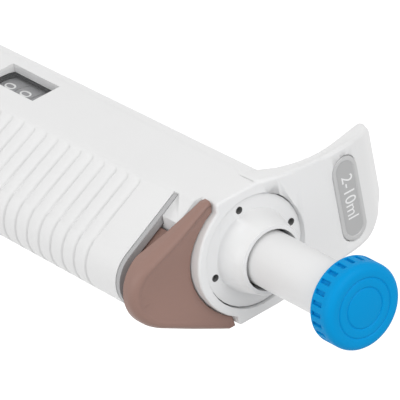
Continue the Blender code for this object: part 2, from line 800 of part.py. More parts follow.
def hexagon(radius):
    return arc((0.0, 0.0), radius, 0, 360, 6)[:-1]


def plunger():
    profile = [
        (0.0, TUBE_TOP),
        (TUBE_R, TUBE_TOP),
        (TUBE_R, TUBE_BOTTOM + 2 * SOFT_EDGE),
        (TUBE_R - 2 * SOFT_EDGE, TUBE_BOTTOM),
        (0.0, TUBE_BOTTOM),
    ]
    plunger_tube = part("plunger_tube", turned(profile), WHITE)
    bore = prism(hexagon(SPINDLE_HEX_R + 1.2 * GAP), TUBE_TOP + PAST, TUBE_BOTTOM - PAST)
    cut(plunger_tube, helper("hexagon_bore", bore))

    end = PISTON_TOP - PISTON_SOCKET
    profile = [
        (0.0, ROD_TOP),
        (ROD_R, ROD_TOP),
        (ROD_R, COLLAR_TOP),
        (ROD_COLLAR_R, COLLAR_TOP),
        (ROD_COLLAR_R, COLLAR_BOTTOM),
        (ROD_R, COLLAR_BOTTOM),
        (ROD_R, end),
        (0.0, end),
    ]
    part("plunger_rod", turned(profile, SMALL_STEPS), STEEL)

    groove = SEAL_R * 0.9
    bottom = PISTON_TOP - PISTON_LENGTH
    land = PISTON_R - SEAL_R * 1.6
    profile = [
        (0.0, PISTON_TOP),
        (PISTON_R - PISTON_CHAMFER, PISTON_TOP),
        (PISTON_R, PISTON_TOP - PISTON_CHAMFER),
        (PISTON_R, SEAL_HEIGHT + groove + GAP),
        (land, SEAL_HEIGHT + groove + GAP),
        (land, SEAL_HEIGHT - groove - GAP),
        (PISTON_R, SEAL_HEIGHT - groove - GAP),
        (PISTON_R, bottom + PISTON_CHAMFER),
        (PISTON_R - 2 * PISTON_CHAMFER, bottom),
        (0.0, bottom),
    ]
    piston = part("piston", turned(profile, INNER_STEPS), IVORY)
    cut(piston, helper("piston_socket", rod(ROD_R + GAP, PISTON_TOP + PAST, end - GAP)))
    wire = SEAL_R * SEAL_SQUEEZE
    part("piston_seal", torus(BARREL_BORE_R - SLIP - wire, wire, SEAL_HEIGHT, INNER_STEPS), BLACK)


def setting_spindle():
    """Hexagonal driver in the plunger tube, journal, flange and drum for the digit wheels."""
    profile = [
        (0.0, JOURNAL_TOP),
        (JOURNAL_R, JOURNAL_TOP),
        (JOURNAL_R, FLANGE_TOP),
        (WHEEL_R - GAP, FLANGE_TOP),
        (WHEEL_R - GAP, WINDOW_TOP),
        (DRUM_R, WINDOW_TOP),
        (DRUM_R, DRUM_BOTTOM),
        (JOURNAL_R, DRUM_BOTTOM),
        (JOURNAL_R, CHASSIS_BOTTOM + GAP),
        (0.0, CHASSIS_BOTTOM + GAP),
    ]
    spindle = part("setting_spindle", turned(profile, SMALL_STEPS + 4), STEEL)
    driver = prism(hexagon(SPINDLE_HEX_R), SPINDLE_TOP, JOURNAL_TOP - 2 * PAST)
    join(spindle, helper("spindle_hexagon", driver))
    cut(spindle, helper("spindle_bore", rod(ROD_BORE_R, SPINDLE_TOP + PAST, CHASSIS_BOTTOM - PAST, 16)))
    wheel_names = ("digit_wheel_tens", "digit_wheel_units", "digit_wheel_tenths")
    for i, name in enumerate(wheel_names):
        top = WINDOW_TOP - WHEEL_PITCH * i - GAP
        part(name, tube(WHEEL_R, WHEEL_BORE_R, top, top - WHEEL_PITCH + GAP), WHEEL_GREY)
    keeper_top = WINDOW_BOTTOM - GAP
    part("wheel_keeper", tube(WHEEL_R, WHEEL_BORE_R, keeper_top, DRUM_BOTTOM, INNER_STEPS), DARK)


def counter():
    part("spindle_bearing", tube(CHASSIS_R, JOURNAL_R + GAP, JOURNAL_TOP, BEARING_BOTTOM, INNER_STEPS), DARK)
    profile = [
        (CHASSIS_R, CHASSIS_TOP),
        (CHASSIS_R, CHASSIS_BOTTOM),
        (JOURNAL_R + GAP, CHASSIS_BOTTOM),
        (JOURNAL_R + GAP, FLOOR_TOP),
        (CHASSIS_BORE_R, FLOOR_TOP),
        (CHASSIS_BORE_R, CHASSIS_TOP),
    ]
    chassis = part("counter_chassis", turned(profile), BLACK)
    low = (-WINDOW_HALF + SLIP, -SIDE_R, WINDOW_BOTTOM + SLIP)
    high = (WINDOW_HALF - SLIP, -WINDOW_DEPTH, WINDOW_TOP - SLIP)
    cut(chassis, helper("chassis_window", box(low, high)))
    washer_low = FLOOR_TOP + GAP
    washer = tube(DRUM_R, JOURNAL_R + GAP, washer_low + WASHER_THICK, washer_low, INNER_STEPS)
    part("thrust_washer", washer, STEEL)
    face = -front_flat(WINDOW_BOTTOM) + LENS_INSET
    half = WINDOW_HALF - GAP
    low = (-half, face, WINDOW_BOTTOM + GAP)
    high = (half, face + LENS_THICK, WINDOW_TOP - GAP)
    part("display_lens", box(low, high), CLEAR)


def stop_and_springs():
    profile = [
        (SLEEVE_R, SLEEVE_TOP),
        (SLEEVE_R, SLEEVE_BASE),
        (SLEEVE_FLANGE_R, SLEEVE_BASE),
        (SLEEVE_FLANGE_R, SLEEVE_BASE - SLEEVE_FLANGE),
        (ROD_BORE_R, SLEEVE_BASE - SLEEVE_FLANGE),
        (ROD_BORE_R, SLEEVE_TOP),
    ]
    part("stop_sleeve", turned(profile, SMALL_STEPS + 4), IVORY)
    spring = coil(PLUNGER_COIL_R, PLUNGER_WIRE_R, COLLAR_BOTTOM - GAP, SLEEVE_BASE + GAP, PLUNGER_TURNS)
    part("plunger_spring", spring, STEEL)
    bottom = CAP_BOSS_TOP + GAP
    spring = coil(BLOWOUT_COIL_R, BLOWOUT_WIRE_R, SLEEVE_BASE - SLEEVE_FLANGE - GAP, bottom, BLOWOUT_TURNS)
    part("blowout_spring", spring, STEEL)


def nozzle_radius(height):
    share = (height - NOZZLE_TOP) / (NOZZLE_BOTTOM - NOZZLE_TOP)
    return NOZZLE_TOP_R + (NOZZLE_TIP_R - NOZZLE_TOP_R) * share


def groove_points(height):
    """A square groove round the nozzle for one O-ring, as corners of the barrel's profile."""
    half = O_RING_R + GAP / 3
    floor_r = nozzle_radius(height) + O_RING_PROUD - 2 * O_RING_R - GAP / 3
    high, low = height + half, height - half
    return [(nozzle_radius(high), high), (floor_r, high), (floor_r, low), (nozzle_radius(low), low)]


def lower_end():
    plate = [[(x, y, z) for x, y, _ in grip_ring(SHELL_BOTTOM)] for z in (CAP_BOTTOM, CAP_TOP)]
    cap = part("end_cap", loft(plate), WHITE)
    boss = [
        (0.0, CAP_BOSS_TOP),
        (CHASSIS_R, CAP_BOSS_TOP),
        (CHASSIS_R, CAP_TOP - PAST),
        (0.0, CAP_TOP - PAST),
    ]
    collar = tube(CAP_COLLAR_R, CAP_COLLAR_BORE_R, CAP_BOTTOM + PAST, CAP_COLLAR_BOTTOM)
    join(cap, helper("cap_boss", turned(boss)), helper("cap_collar", collar))
    hole = rod(ROD_BORE_R, CAP_BOSS_TOP + PAST, CAP_BOTTOM - PAST, 16)
    rod_hole = rod(SOCKET_R, CAP_TOP + PAST, CAP_BOTTOM - PAST, 12)
    cut(cap, helper("cap_hole", hole), helper("cap_rod_hole", rod_hole, (EJECT_ROD_X, 0, 0)))

    gasket = tube(CAP_COLLAR_R, CAP_COLLAR_BORE_R, GASKET_TOP, GASKET_TOP - GASKET_THICK, INNER_STEPS)
    part("barrel_gasket", gasket, BLACK)

    profile = [
        (BARREL_FLANGE_R, BARREL_TOP),
        (BARREL_FLANGE_R, BARREL_FLANGE_BOTTOM),
        (BARREL_R, BARREL_FLANGE_BOTTOM),
        (BARREL_R, BARREL_SHOULDER),
        *arc((BARREL_R - SHOULDER_ROUND, BARREL_SHOULDER), SHOULDER_ROUND, 0, -50, 3)[1:],
        (NOZZLE_TOP_R + NOZZLE_FLARE, NOZZLE_TOP + 2 * NOZZLE_FLARE),
        (NOZZLE_TOP_R, NOZZLE_TOP),
        *groove_points(O_RING_HEIGHTS[0]),
        *groove_points(O_RING_HEIGHTS[1]),
        (NOZZLE_TIP_R, NOZZLE_BOTTOM),
        (FILTER_R + GAP, NOZZLE_BOTTOM),
        (FILTER_R + GAP, NOZZLE_BOTTOM + FILTER_LENGTH + GAP),
        (NOZZLE_BORE_R, NOZZLE_BOTTOM + FILTER_LENGTH + GAP),
        (NOZZLE_BORE_R, NOZZLE_TOP + 2 * NOZZLE_FLARE),
        (BARREL_BORE_R, BORE_END),
        (BARREL_BORE_R, BARREL_TOP),
    ]
    part("barrel", turned(profile), WHITE)
    for name, height in zip(("nozzle_o_ring_upper", "nozzle_o_ring_lower"), O_RING_HEIGHTS):
        centre = nozzle_radius(height) + O_RING_PROUD - O_RING_R
        part(name, torus(centre, O_RING_R, height, INNER_STEPS), BLACK)
    filter_bottom = NOZZLE_BOTTOM + GAP
    part("nozzle_filter", rod(FILTER_R, filter_bottom + FILTER_LENGTH - GAP, filter_bottom), IVORY)

    profile = [
        (NUT_R - NUT_CHAMFER, NUT_TOP),
        (NUT_R, NUT_TOP - NUT_CHAMFER),
        (NUT_R, NUT_BOTTOM + NUT_CHAMFER),
        (NUT_R - NUT_CHAMFER, NUT_BOTTOM),
        (BARREL_R + GAP, NUT_BOTTOM),
        (BARREL_R + GAP, NUT_LIP_TOP),
        (NUT_BORE, NUT_LIP_TOP),
        (NUT_BORE, NUT_TOP),
    ]
    nut = part("coupling_nut", turned(profile), WHITE)
    for i in range(NUT_FLUTES):
        turn = math.tau * i / NUT_FLUTES
        at = ((NUT_R + FLUTE_R * 0.5) * math.cos(turn), (NUT_R + FLUTE_R * 0.5) * math.sin(turn), 0.0)
        flute = rod(FLUTE_R, NUT_TOP - 2 * NUT_CHAMFER, NUT_BOTTOM + 2 * NUT_CHAMFER, 6)
        cut(nut, helper(f"flute_{i + 1}", flute, at))


def button_width(x):
    """Half the width of the button's outline at x, up to where the lobe turns in."""
    return max(BUTTON_LOBE_R, slope_y(0.0, x, (BUTTON_BEND_X, BUTTON_FRONT), BUTTON_LOBE_R))


def thumb_height(x, y):
    """Height of the thumb surface: a trough along x that falls toward the lobe's end."""
    fall = BUTTON_FALL * max(x - RIM_R, 0.0)
    return BUTTON_TOP - fall + BUTTON_DISH * (y / button_width(x)) ** 2


def drawn_in(outline, share, inset=0.0, end=LOBE_X):
    """Points of an outline drawn in toward the lobe's spine, by a share or by a distance."""
    start = min(x for x, y in outline) + 2 * PAST
    points = []
    for x, y in outline:
        spine = Vector((min(max(x, start), end), 0.0))
        reach = Vector((x, y)) - spine
        full = min(max((x - BUTTON_CORNER_X) / (CREASE_FULL_X - BUTTON_CORNER_X), 0.0), 1.0)
        here = inset * (TIP_CREASE + (1 - TIP_CREASE) * full)
        points.append(spine + reach * share * (1 - here / reach.length))
    return points


def thumb_ring(outline, share, rise, inset=0.0, end=LOBE_X):
    return [(x, y, thumb_height(x, y) + rise) for x, y in drawn_in(outline, share, inset, end)]


def edge_ring(outline, inset, drop):
    """A ring of the rounded edge, dropped by a share of the wall's height there."""
    points = []
    for x, y in drawn_in(outline, 1.0, inset):
        top = thumb_height(x, y)
        points.append((x, y, top - drop * (top - button_low(x))))
    return points


def under_thumb(half, bottom, rise, end=LOBE_X):
    """A solid from half an outline, from bottom up to a roof that follows the thumb surface."""
    end_x, end_y = half[-1]
    outline = mirrored(half + [(end_x, end_y * share) for share in CHORD_SHARES[1:]])
    rings = [[(x, y, bottom) for x, y in outline]]
    rings += [thumb_ring(outline, share, rise, end=end) for share in (1.0, 0.75, 0.5, 0.25, 0.0)]
    return loft(rings, cap_last=False)


def button_low(x):
    """Height of the flange's lower edge, which falls from its tips to the lobe's end."""
    along = max(x - BUTTON_CORNER_X, 0.0)
    return max(BUTTON_TIP_LOW - BUTTON_SLOPE * along - BUTTON_BEND * along**2, BUTTON_LOW)


def button_mesh():
    """The thumb lobe: walls that follow its outline, a soft crease and a dished top."""
    bend = (BUTTON_BEND_X, BUTTON_FRONT)
    half = lobe_half(bend, LOBE_X, BUTTON_LOBE_R, steps=BUTTON_STEPS) + [bend]
    outline = mirrored(half + [(BUTTON_CORNER_X, BUTTON_FRONT * share) for share in CHORD_SHARES])
    rings = [[(x, y, button_low(x)) for x, y in drawn_in(outline, share)] for share in (0.0, 0.5, 1.0)]
    rings += [edge_ring(outline, BUTTON_CREASE * share, drop) for share, drop in BUTTON_EDGE]
    rings += [thumb_ring(outline, share, 0.0, BUTTON_CREASE) for share in (0.92, 0.7, 0.45, 0.2, 0.0)]
    return loft(rings, cap_first=False, cap_last=False)


def ejector():
    button = part("ejector_button", button_mesh(), TAUPE)
    half = lobe_line(-FLANGE_GAP, CORNER_X + FLANGE_GAP)
    half.append((BUTTON_CORNER_X - PAST, front_flat(BLOCK_TOP) + FLANGE_GAP))
    hollow = under_thumb(half, SKIRT_BOTTOM - PAST, -BUTTON_ROOF, LOBE_X - 3 * PAST)
    cut(button, helper("button_hollow", hollow))
    skirt_offset = SHELL_WALL + RUNNING_GAP
    half = lobe_line(skirt_offset, POCKET_START_X + GAP + RUNNING_GAP)
    skirt = helper("button_skirt", under_thumb(half, SKIRT_BOTTOM, -BUTTON_ROOF / 2))
    inner = mirrored(lobe_line(skirt_offset + SKIRT_WALL, POCKET_START_X - 2 * PAST))
    cut(skirt, helper("skirt_hollow", prism(inner, RIM_TOP, SKIRT_BOTTOM - PAST)))
    join(button, skirt)
    boss_top = thumb_height(EJECT_ROD_X, 0.0) - BUTTON_ROOF / 2
    join(button, helper("button_boss", rod(BOSS_R, boss_top, BOSS_BOTTOM, 16), (EJECT_ROD_X, 0, 0)))
    socket = rod(SOCKET_R, EJECT_ROD_TOP + GAP, BOSS_BOTTOM - PAST, 12)
    neck = rod(BUTTON_BORE_R, RIM_TOP + PAST, SKIRT_BOTTOM - 2 * PAST, STEPS)
    cut(button, helper("button_bore", neck), helper("button_socket", socket, (EJECT_ROD_X, 0, 0)))

    tail = LUG_TOP + GAP
    profile = [
        (0.0, EJECT_ROD_TOP),
        (EJECT_ROD_R, EJECT_ROD_TOP),
        (EJECT_ROD_R, tail),
        (ROD_TAIL_R, tail),
        (ROD_TAIL_R, LUG_BOTTOM - CLIP_THICK - 3 * GAP),
        (0.0, LUG_BOTTOM - CLIP_THICK - 3 * GAP),
    ]
    part("ejector_rod", turned(profile, 12), STEEL, (EJECT_ROD_X, 0, 0))
    clip_top = LUG_BOTTOM - GAP
    clip = tube(CLIP_R, ROD_TAIL_R + GAP, clip_top, clip_top - CLIP_THICK, 14)
    part("rod_clip", clip, STEEL, (EJECT_ROD_X, 0, 0))
    spring_top = thumb_height(EJECT_ROD_X + EJECT_COIL_R, 0.0) - BUTTON_ROOF - GAP
    spring = coil(EJECT_COIL_R, EJECT_WIRE_R, spring_top, POCKET_FLOOR + GAP, EJECT_TURNS)
    part("ejector_spring", spring, STEEL, (EJECT_ROD_X, 0, 0))

    inner, outer = ARM_X, ARM_X + ARM_THICK
    end = EJECT_ROD_X + CLIP_R + 2 * GAP
    foot_in = EJECT_RING_R - PAST
    foot_out = foot_in + ARM_THICK + ROOT
    outline = [
        (inner, LUG_TOP),
        (end, LUG_TOP),
        (end, LUG_BOTTOM),
        (outer, LUG_BOTTOM),
        (outer, BARREL_SHOULDER - ARM_THICK),
        (foot_out, EJECT_RING_TOP + 2 * ARM_THICK),
        (foot_out, EJECT_RING_BOTTOM + 2 * ARM_THICK),
        (foot_in, EJECT_RING_BOTTOM + ARM_THICK),
        (foot_in, EJECT_RING_TOP + ARM_THICK),
        (inner, BARREL_SHOULDER),
    ]
    strip = flat_outline(outline, ARM_HALF_WIDTH)
    strip.transform(Matrix.Rotation(math.radians(90), 4, "X"))
    arm = part("ejector_arm", strip, WHITE)
    ring = tube(EJECT_RING_R, EJECT_RING_BORE_R, EJECT_RING_TOP, EJECT_RING_BOTTOM, 28)
    join(arm, helper("arm_ring", ring))
    hole = rod(ROD_TAIL_R + GAP, LUG_TOP + PAST, LUG_BOTTOM - PAST, 12)
    cut(arm, helper("lug_hole", hole, (EJECT_ROD_X, 0, 0)))


for old in list(bpy.data.objects):
    bpy.data.objects.remove(old)

parts = collection("micropipette")
cutters = collection("cutters")

# Finishes: colour, roughness, metallic, alpha
WHITE = ((0.83, 0.83, 0.83), 0.42)
BLUE = ((0.0, 0.28, 0.62), 0.45)
TAUPE = ((0.26, 0.17, 0.145), 0.5)
GREY = ((0.22, 0.20, 0.19), 0.5)
LABEL_GREY = ((0.45, 0.45, 0.45), 0.4)
WHEEL_GREY = ((0.30, 0.30, 0.31), 0.5)
DARK = ((0.09, 0.09, 0.095), 0.5)
BLACK = ((0.02, 0.02, 0.02), 0.6)
IVORY = ((0.72, 0.70, 0.64), 0.4)
STEEL = ((0.56, 0.56, 0.57), 0.3, 1.0)
CLEAR = ((0.9, 0.92, 0.93), 0.08, 0.0, 0.3)

# The origin of the model is the point under the hook that a stand's bar touches
seat_row = min(eased(HOOK_ROWS), key=lambda row: abs(row[0] - HOOK_SEAT))
seat_height = seat_row[4] - hook_drop(seat_row[0], 0.0)
datum = bpy.data.objects.new("plunger_axis", None)
parts.objects.link(datum)
datum.location = (seat_row[0], 0.0, -seat_height)

handle_shell()
trim_and_label()
calibration_nut()
guide_bush()
push_button()
plunger()
setting_spindle()
counter()
stop_and_springs()
lower_end()
ejector()
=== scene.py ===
# %% [markdown]
# # A micropipette, dressed for its picture
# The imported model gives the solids, their places and their joints. This lesson adds what the eye
# wants: turned and moulded plastic with soft edges, printed numbers, and soft light. Everything is
# in metres. +Z runs along the plunger, +X points to the ejector side, and the display looks
# along -Y.

import json
import math

import bmesh
import bpy
from mathutils import Matrix, Vector

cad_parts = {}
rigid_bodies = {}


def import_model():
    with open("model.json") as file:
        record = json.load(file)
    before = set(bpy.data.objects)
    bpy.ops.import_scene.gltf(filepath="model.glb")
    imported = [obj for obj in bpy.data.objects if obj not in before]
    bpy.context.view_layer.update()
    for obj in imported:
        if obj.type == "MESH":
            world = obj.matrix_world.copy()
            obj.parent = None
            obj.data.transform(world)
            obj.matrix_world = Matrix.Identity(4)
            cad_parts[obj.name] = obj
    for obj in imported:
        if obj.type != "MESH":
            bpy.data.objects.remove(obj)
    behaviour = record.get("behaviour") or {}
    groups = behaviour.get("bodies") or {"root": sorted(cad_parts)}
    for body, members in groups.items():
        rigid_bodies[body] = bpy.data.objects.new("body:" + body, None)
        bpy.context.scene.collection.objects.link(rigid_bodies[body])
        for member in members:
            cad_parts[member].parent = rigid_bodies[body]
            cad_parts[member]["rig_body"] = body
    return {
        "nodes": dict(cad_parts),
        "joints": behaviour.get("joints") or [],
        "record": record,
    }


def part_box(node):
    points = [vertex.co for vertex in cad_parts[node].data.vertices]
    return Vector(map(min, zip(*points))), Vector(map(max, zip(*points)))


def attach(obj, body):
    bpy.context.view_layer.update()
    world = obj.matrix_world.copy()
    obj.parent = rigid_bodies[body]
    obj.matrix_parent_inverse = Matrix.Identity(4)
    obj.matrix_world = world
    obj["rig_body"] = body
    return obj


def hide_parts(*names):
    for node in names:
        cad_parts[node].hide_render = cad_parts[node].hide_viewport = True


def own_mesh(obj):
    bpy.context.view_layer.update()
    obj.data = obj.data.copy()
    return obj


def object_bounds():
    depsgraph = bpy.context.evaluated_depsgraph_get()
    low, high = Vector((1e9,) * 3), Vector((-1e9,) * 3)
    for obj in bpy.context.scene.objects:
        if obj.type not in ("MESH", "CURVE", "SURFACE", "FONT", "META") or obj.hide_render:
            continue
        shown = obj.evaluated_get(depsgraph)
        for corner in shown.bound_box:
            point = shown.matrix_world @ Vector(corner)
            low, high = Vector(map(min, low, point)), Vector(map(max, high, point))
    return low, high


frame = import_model()
cad_box = [list(map(float, corner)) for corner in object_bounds()]
nodes = frame["nodes"]

# %% [markdown]
# ## The line that everything is turned about
# The knob, the tube and the collar are turned about one upright line. Its place could be written
# down as a number, but it is read from the knob, so that it can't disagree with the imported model.
# The height of the round top plate comes from the calibration nut, whose collar stands on it.

# %% Where the plunger axis stands
COLLAR_HEIGHT = 0.0068
knob_low, knob_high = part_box("push_button")
axis_x = (knob_low.x + knob_high.x) / 2
plate_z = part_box("calibration_nut")[1].z - COLLAR_HEIGHT
print("plunger axis at x =", round(axis_x, 4), "plate at z =", round(plate_z, 4))

# %% [markdown]
# ## The camera
# A long lens from above the display side, at the photograph's angle: 42 degrees round from the
# display, 47 degrees up, and rolled so that the plunger points to the lower right. The camera is
# placed by three directions at right angles, because a rolled view is hard to give as angles.

# %% Camera
TARGET_FROM_PLATE = Vector((0.00434, -0.01124, -0.01047))
CAMERA_DISTANCE = 1.196
LENS_MM = 495
FILM_MM = 36
view_right = Vector((-0.7787, 0.1690, 0.6050))
view_up = Vector((-0.4284, -0.8470, -0.3150))
view_back = view_right.cross(view_up)
camera_target = Vector((axis_x, 0, plate_z)) + TARGET_FROM_PLATE
bpy.ops.object.camera_add(location=camera_target + view_back * CAMERA_DISTANCE)
camera = bpy.context.object
camera.name = "photo_camera"
turn = Matrix((view_right, view_up, view_back)).transposed()
camera.rotation_euler = turn.to_euler()
camera.data.lens = LENS_MM
camera.data.sensor_width = FILM_MM
camera.data.clip_start = 0.01
camera.data.clip_end = 20
bpy.context.scene.camera = camera
print("camera stands", CAMERA_DISTANCE, "m from the point it looks at")

# %% [markdown]
# ## Moulded plastic
# The outside is all moulded plastic: a fine satin from the mould, seen only in the highlights, and
# no sharp edges. One helper builds each plastic from a colour and a roughness. Two noises are
# mixed: a fine one for the grain, and a broad one for the slight changes of shade that every
# moulding has. The Bevel node rounds the edges in the shading alone, which suits radii of a fifth
# of a millimetre better than more faces would.

# %% Plastic helper
GRAIN_CELL = 0.00072
GRAIN_DETAIL = 3
GRAIN_BUMP = 0.03
GRAIN_DEPTH = 0.0001
SHADE_SCALE = 60
SHADE_CHANGE = 0.02
ROUGHNESS_CHANGE = 0.04
EDGE_RADIUS = 0.0002
EDGE_SAMPLES = 4


def plastic(name, colour, roughness, edge=EDGE_RADIUS):
    """A satin plastic with grain, slight changes of shade and edges that look rounded."""
    made = bpy.data.materials.new(name)
    made.use_nodes = True
    tree = made.node_tree
    link = tree.links.new
    shader = tree.nodes["Principled BSDF"]
    place = tree.nodes.new("ShaderNodeTexCoord")
    fine = tree.nodes.new("ShaderNodeTexNoise")
    fine.inputs["Scale"].default_value = 1 / GRAIN_CELL
    fine.inputs["Detail"].default_value = GRAIN_DETAIL
    broad = tree.nodes.new("ShaderNodeTexNoise")
    broad.inputs["Scale"].default_value = SHADE_SCALE
    link(place.outputs["Object"], fine.inputs["Vector"])
    link(place.outputs["Object"], broad.inputs["Vector"])
    mix = tree.nodes.new("ShaderNodeMix")
    mix.data_type = "RGBA"
    mix.inputs["A"].default_value = (*[c * (1 - SHADE_CHANGE) for c in colour], 1)
    mix.inputs["B"].default_value = (*[c * (1 + SHADE_CHANGE) for c in colour], 1)
    link(broad.outputs["Fac"], mix.inputs["Factor"])
    link(mix.outputs["Result"], shader.inputs["Base Color"])
    spread = tree.nodes.new("ShaderNodeMapRange")
    spread.inputs["To Min"].default_value = roughness - ROUGHNESS_CHANGE
    spread.inputs["To Max"].default_value = roughness + ROUGHNESS_CHANGE
    link(fine.outputs["Fac"], spread.inputs["Value"])
    link(spread.outputs["Result"], shader.inputs["Roughness"])
    rounding = tree.nodes.new("ShaderNodeBevel")
    rounding.samples = EDGE_SAMPLES
    rounding.inputs["Radius"].default_value = edge
    relief = tree.nodes.new("ShaderNodeBump")
    relief.inputs["Strength"].default_value = GRAIN_BUMP
    relief.inputs["Distance"].default_value = GRAIN_DEPTH
    link(rounding.outputs["Normal"], relief.inputs["Normal"])
    link(fine.outputs["Fac"], relief.inputs["Height"])
    link(relief.outputs["Normal"], shader.inputs["Normal"])
    return made


def shader_of(material):
    return material.node_tree.nodes["Principled BSDF"]


# %% [markdown]
# ## The finishes
# The colours are written as the plain light of this scene should show them: a cool white, a clean
# cyan blue, a warm taupe for the thumb lobe, and greys for the trim, the label and the counter.
# The blue and the taupe have less gloss than the rest, because soft lamps would wash them out.
# The display's pane is almost see-through rather than glass, so that the wheels behind it stay lit.

# %% Finishes
white = plastic("white_shell", (0.80, 0.80, 0.80), 0.38)
blue = plastic("blue_knob", (0.0, 0.295, 0.665), 0.5)
taupe = plastic("taupe_button", (0.305, 0.188, 0.157), 0.42)
grey = plastic("grey_trim", (0.44, 0.44, 0.445), 0.45)
# Painted shade: a dark grey for the faces inside the pin holes.
hole_painted_shade = plastic("hole_painted_shade", (0.2, 0.2, 0.2), 0.6)
label_grey = plastic("label_grey", (0.46, 0.46, 0.46), 0.35)
# Painted light: a lighter copy of the label's grey for its domed rim.
label_rim_painted_light = plastic("label_rim_painted_light", (0.56, 0.56, 0.56), 0.3)
wheel_grey = plastic("wheel_grey", (0.30, 0.30, 0.31), 0.5)
dark = plastic("dark_chassis", (0.02, 0.02, 0.021), 0.5)
ivory = plastic("ivory_plastic", (0.70, 0.68, 0.62), 0.4)
print_white = plastic("printed_white", (0.85, 0.85, 0.85), 0.5, edge=EDGE_RADIUS / 4)
rubber = plastic("rubber", (0.02, 0.02, 0.02), 0.6)
steel = plastic("steel", (0.56, 0.56, 0.57), 0.3)
clear = plastic("clear_lens", (0.92, 0.94, 0.95), 0.08)
shader_of(blue).inputs["Specular IOR Level"].default_value = 0.08
shader_of(taupe).inputs["Specular IOR Level"].default_value = 0.3
shader_of(steel).inputs["Metallic"].default_value = 1.0
shader_of(clear).inputs["Alpha"].default_value = 0.03

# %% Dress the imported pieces
finish_of = {
    "white_plastic": white,
    "blue_plastic": blue,
    "taupe_plastic": taupe,
    "grey_plastic": grey,
    "label_plastic": label_grey,
    "wheel_plastic": wheel_grey,
    "dark_plastic": dark,
    "ivory_plastic": ivory,
    "steel": steel,
    "clear_plastic": clear,
    "rubber": rubber,
}
slot_of = {subpart["node"]: subpart["material_slot"] for subpart in frame["record"]["subparts"]}
for name, slot in slot_of.items():
    nodes[name].data.materials.clear()
    nodes[name].data.materials.append(finish_of[slot])
print("dressed", len(slot_of), "nodes")

# %% [markdown]
# ## Helpers for working by hand
# An operator acts on all that is selected, and loading leaves every node selected. So each step
# starts from nothing selected, and then picks faces, edges or corners by where they lie. The last
# steps are the same for every piece, so they are helpers too.


# %% Pick one object, and what lies in it
def only(piece, mode="OBJECT", kind="FACE"):
    """Select this piece alone, in object mode or, with nothing in it picked yet, in edit mode."""
    if bpy.context.object and bpy.context.object.mode != "OBJECT":
        bpy.ops.object.mode_set(mode="OBJECT")
    bpy.ops.object.select_all(action="DESELECT")
    bpy.context.view_layer.objects.active = piece
    piece.select_set(True)
    if mode == "EDIT":
        bpy.ops.object.mode_set(mode="EDIT")
        bpy.ops.mesh.select_mode(type=kind)
        bpy.ops.mesh.select_all(action="DESELECT")


def pick(piece, kind, test):
    """Start from nothing and select the faces, edges or corners that pass the test."""
    only(piece, "EDIT", kind)
    mesh = bmesh.from_edit_mesh(piece.data)
    count = 0
    for item in {"FACE": mesh.faces, "EDGE": mesh.edges, "VERT": mesh.verts}[kind]:
        if test(item):
            item.select_set(True)
            count += 1
    bmesh.update_edit_mesh(piece.data)
    return count


# %% Finish one object
SOFT_SEGMENTS = 2


def settle(piece):
    """Its place and turn go into the mesh, and the object itself goes to the origin."""
    only(piece)
    bpy.ops.object.transform_apply(location=True, rotation=True, scale=True)


def close_up(piece, name, material, angle=35, bevel=0.0, weighted=True):
    """Soft edges, smooth shading and a material: the last steps of every piece."""
    settle(piece)
    piece.name = name
    piece.data.name = name
    if bevel:
        rounded = piece.modifiers.new("soft_edges", "BEVEL")
        rounded.width = bevel
        rounded.segments = SOFT_SEGMENTS
        rounded.limit_method = "ANGLE"
        rounded.angle_limit = math.radians(angle)
        rounded.use_clamp_overlap = True
        bpy.ops.object.modifier_apply(modifier="soft_edges")
    bpy.ops.object.shade_smooth_by_angle(angle=math.radians(angle))
    if weighted:
        even = piece.modifiers.new("even_shading", "WEIGHTED_NORMAL")
        even.keep_sharp = True
        bpy.ops.object.modifier_apply(modifier="even_shading")
    piece.data.materials.clear()
    piece.data.materials.append(material)
    print(name, "has", len(piece.data.polygons), "faces")


def stand_in(piece, node):
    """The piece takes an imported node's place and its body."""
    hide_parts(node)
    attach(piece, nodes[node]["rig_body"])


# %% [markdown]
# ## The blue knob
# On the real pipette this is one moulding: a cap with a rolled edge, two rings sunk in its face,
# and 25 short grip notches cut in near its back edge. It could be turned and then cut, but a
# cylinder of 125 sides gives each notch two whole sides to sink, with three left between notches.

# %% Knob blank with a rolled edge
KNOB_NOTCHES = 25
SIDES_PER_NOTCH = 5
KNOB_SIDES = KNOB_NOTCHES * SIDES_PER_NOTCH
KNOB_CROWN = 0.0018
CROWN_STEPS = 7
NEAR = 1e-5
knob_r = (knob_high.x - knob_low.x) / 2
knob_height = knob_high.z - knob_low.z
knob_mid = (knob_low + knob_high) / 2


def pick_rim(piece, height):
    """The edges round a turned blank's top."""
    pick(piece, "EDGE", lambda e: all(v.co.z > height - NEAR for v in e.verts))


bpy.ops.mesh.primitive_cylinder_add(
    vertices=KNOB_SIDES, radius=knob_r, depth=knob_height, location=(axis_x, 0, knob_mid.z)
)
knob = bpy.context.object
settle(knob)
pick_rim(knob, knob_high.z)
bpy.ops.mesh.bevel(offset=KNOB_CROWN, segments=CROWN_STEPS, profile=0.5, affect="EDGES")
print("knob radius", round(knob_r, 4), "height", round(knob_height, 4))

# %% Rings sunk in the face
FACE_RINGS = (0.0069, 0.0047)
RING_HALF = 0.00028
RING_DEPTH = 0.0003
LEVEL = 0.99


def upper_end(face):
    """The round face that closes a turned blank: level, with more corners than a side has."""
    return face.normal.z > LEVEL and len(face.verts) > 4


def from_axis(point):
    return math.hypot(point.x - axis_x, point.y)


def on_ring(corner, ring_r):
    return corner.co.z > knob_high.z - NEAR and abs(from_axis(corner.co) - ring_r) < RING_HALF / 2


